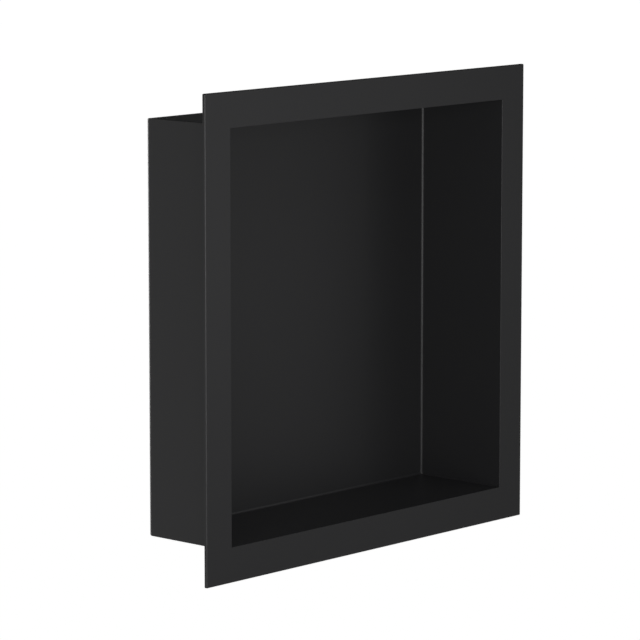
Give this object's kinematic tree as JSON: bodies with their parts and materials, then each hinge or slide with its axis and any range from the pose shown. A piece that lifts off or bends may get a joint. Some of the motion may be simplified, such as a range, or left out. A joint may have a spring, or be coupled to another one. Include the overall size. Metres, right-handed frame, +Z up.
{
  "type": "shower niche insert",
  "caption": "Square wall niche insert for a shower: an open-fronted sheet-metal box with a flat frame that laps the wall round its recess, in a satin black coat.",
  "frame": {"origin": "centre of the frame's back, on the plane of the finished wall", "axes": "+Y into the wall, so the open mouth faces -Y; +Z up as fitted; +X to the right seen from the room"},
  "size_m": [0.3, 0.07, 0.3],
  "materials": {
    "satin_black_coat": "satin black powder coat on folded, welded and ground sheet steel"
  },
  "bodies": {
    "root": {"niche_insert": "satin_black_coat"}
  },
  "joints": []
}
